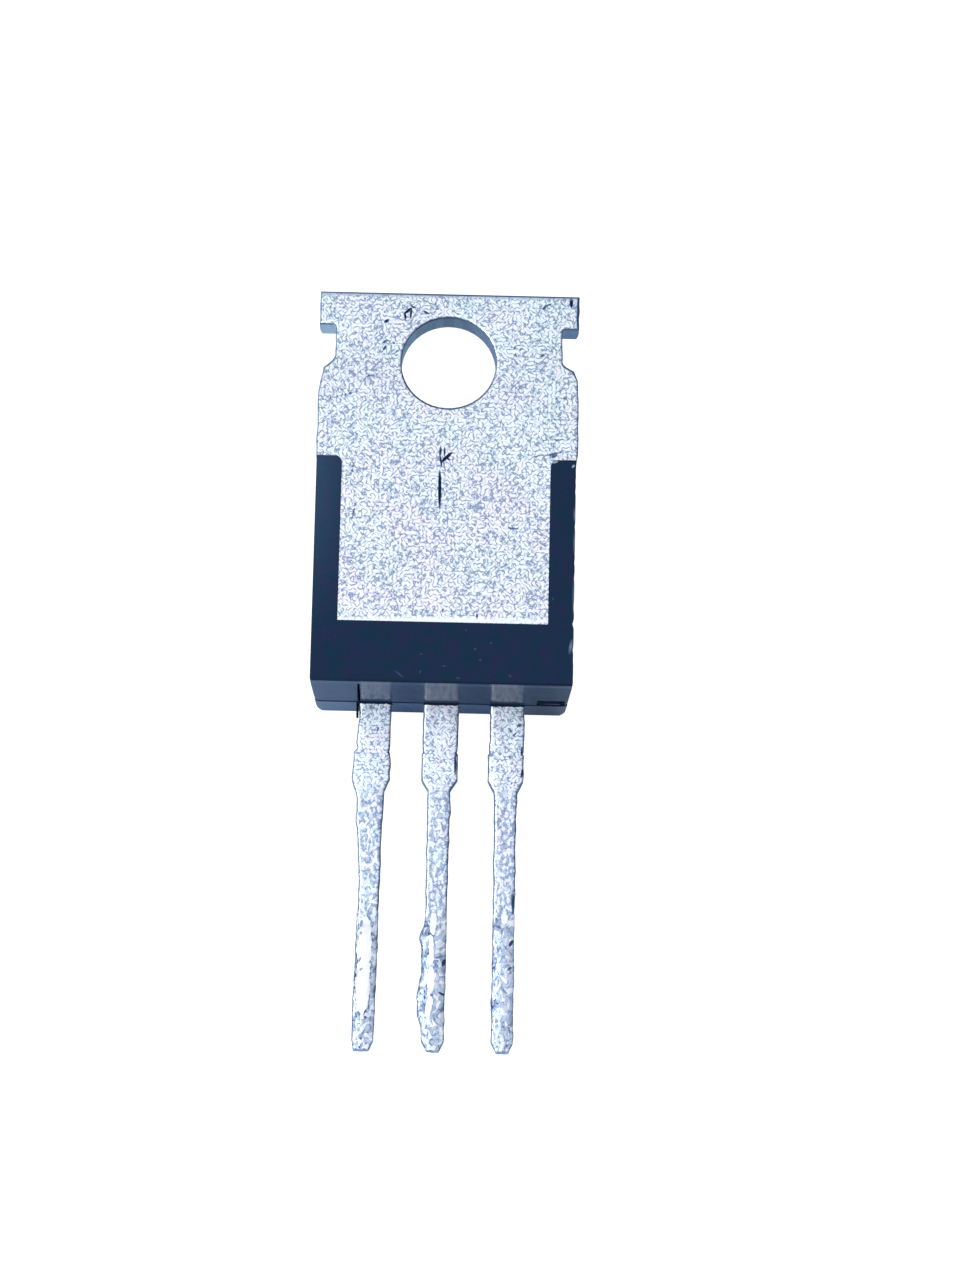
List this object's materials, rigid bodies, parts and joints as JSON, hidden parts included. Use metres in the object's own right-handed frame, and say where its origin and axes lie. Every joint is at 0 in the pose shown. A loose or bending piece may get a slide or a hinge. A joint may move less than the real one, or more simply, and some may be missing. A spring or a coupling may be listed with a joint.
{
  "type": "power transistor",
  "caption": "Flat through-hole power transistor with a notched metal mounting tab, a black moulded body and straight soldered leads.",
  "frame": {"origin": "centre of the mounting hole, in the plane of the heatsink face", "axes": "+Z out of the heatsink face, +Y along the part from the lead tips to the free end of the tab, +X across the part to the side of pin 1; the moulded body hangs on the -Z side"},
  "size_m": [0.01, 0.0292, 0.0045],
  "materials": {
    "tin_plate": "matte tin plate on copper, finely wrinkled",
    "mould_compound": "smooth semi-matt moulding compound, blue-black",
    "solder": "bright lumpy solder left on the leads"
  },
  "bodies": {
    "root": {"tab_and_pin_2_lead": "tin_plate", "pin_1_lead": "tin_plate", "pin_3_lead": "tin_plate", "moulded_body": "mould_compound", "pin_1_solder": "solder", "pin_2_solder": "solder", "pin_3_solder": "solder"}
  },
  "joints": []
}
